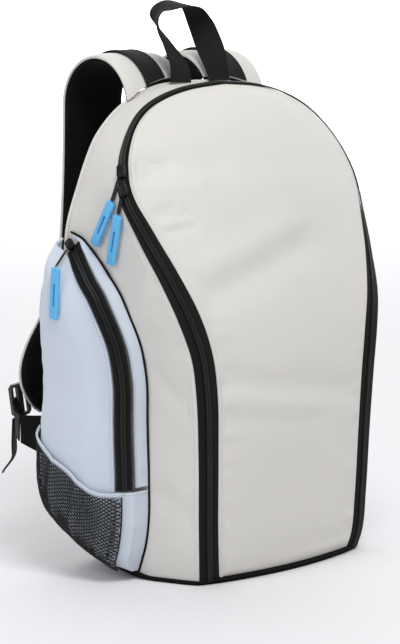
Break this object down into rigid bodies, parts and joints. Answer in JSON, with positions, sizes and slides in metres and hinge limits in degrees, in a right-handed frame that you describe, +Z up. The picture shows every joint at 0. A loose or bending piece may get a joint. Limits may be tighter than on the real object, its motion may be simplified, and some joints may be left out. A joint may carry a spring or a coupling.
{
  "type": "cooler backpack",
  "caption": "Soft insulated backpack with an arched front lid, zipped side pockets with net pockets below, grab handle and padded shoulder straps.",
  "frame": {"origin": "on the floor under the middle of the whole bag's bounding box", "axes": "+Z up, -Y the way the front lid faces, +X to the bag's right as seen from the front"},
  "size_m": [0.3732, 0.2372, 0.5098],
  "materials": {
    "beige_cloth": "coated woven cloth, matt",
    "blue_cloth": "coated woven cloth, matt",
    "black_cloth": "spacer mesh and woven cloth, matt",
    "net": "open diamond net",
    "webbing": "ribbed woven webbing",
    "zip": "woven zip tape with a nylon coil",
    "slider_metal": "black painted, satin",
    "pull_cord": "black cord",
    "blue_rubber": "soft moulded, matt",
    "buckle_plastic": "moulded, satin"
  },
  "bodies": {
    "root": {"gusset_shell": "beige_cloth", "front_panel": "beige_cloth", "main_zip_tape": "zip", "main_zip_coil": "zip", "base_panel": "black_cloth", "back_panel": "black_cloth", "handle": "webbing", "upper_slider": "slider_metal", "upper_tab": "pull_cord", "upper_pull": "blue_rubber", "lower_slider": "slider_metal", "lower_tab": "pull_cord", "lower_pull": "blue_rubber", "left_pocket_wall": "blue_cloth", "left_pocket_patch": "blue_cloth", "left_pocket_zip_tape": "zip", "left_pocket_zip_coil": "zip", "left_pocket_panel": "blue_cloth", "left_mesh_pocket": "net", "left_mesh_binding": "blue_cloth", "left_pocket_slider": "slider_metal", "left_pocket_tab": "pull_cord", "left_pocket_pull": "blue_rubber", "left_strap_padding": "black_cloth", "left_strap_cover": "beige_cloth", "left_strap_webbing": "webbing", "left_buckle_webbing": "webbing", "left_buckle": "buckle_plastic", "left_strap_tail": "webbing", "left_adjust_webbing": "webbing", "left_wing": "black_cloth", "right_pocket_wall": "blue_cloth", "right_pocket_patch": "blue_cloth", "right_pocket_zip_tape": "zip", "right_pocket_zip_coil": "zip", "right_pocket_panel": "blue_cloth", "right_mesh_pocket": "net", "right_mesh_binding": "blue_cloth", "right_pocket_slider": "slider_metal", "right_pocket_tab": "pull_cord", "right_pocket_pull": "blue_rubber", "right_strap_padding": "black_cloth", "right_strap_cover": "beige_cloth", "right_strap_webbing": "webbing", "right_buckle_webbing": "webbing", "right_buckle": "buckle_plastic", "right_strap_tail": "webbing", "right_adjust_webbing": "webbing", "right_wing": "black_cloth"}
  },
  "joints": []
}
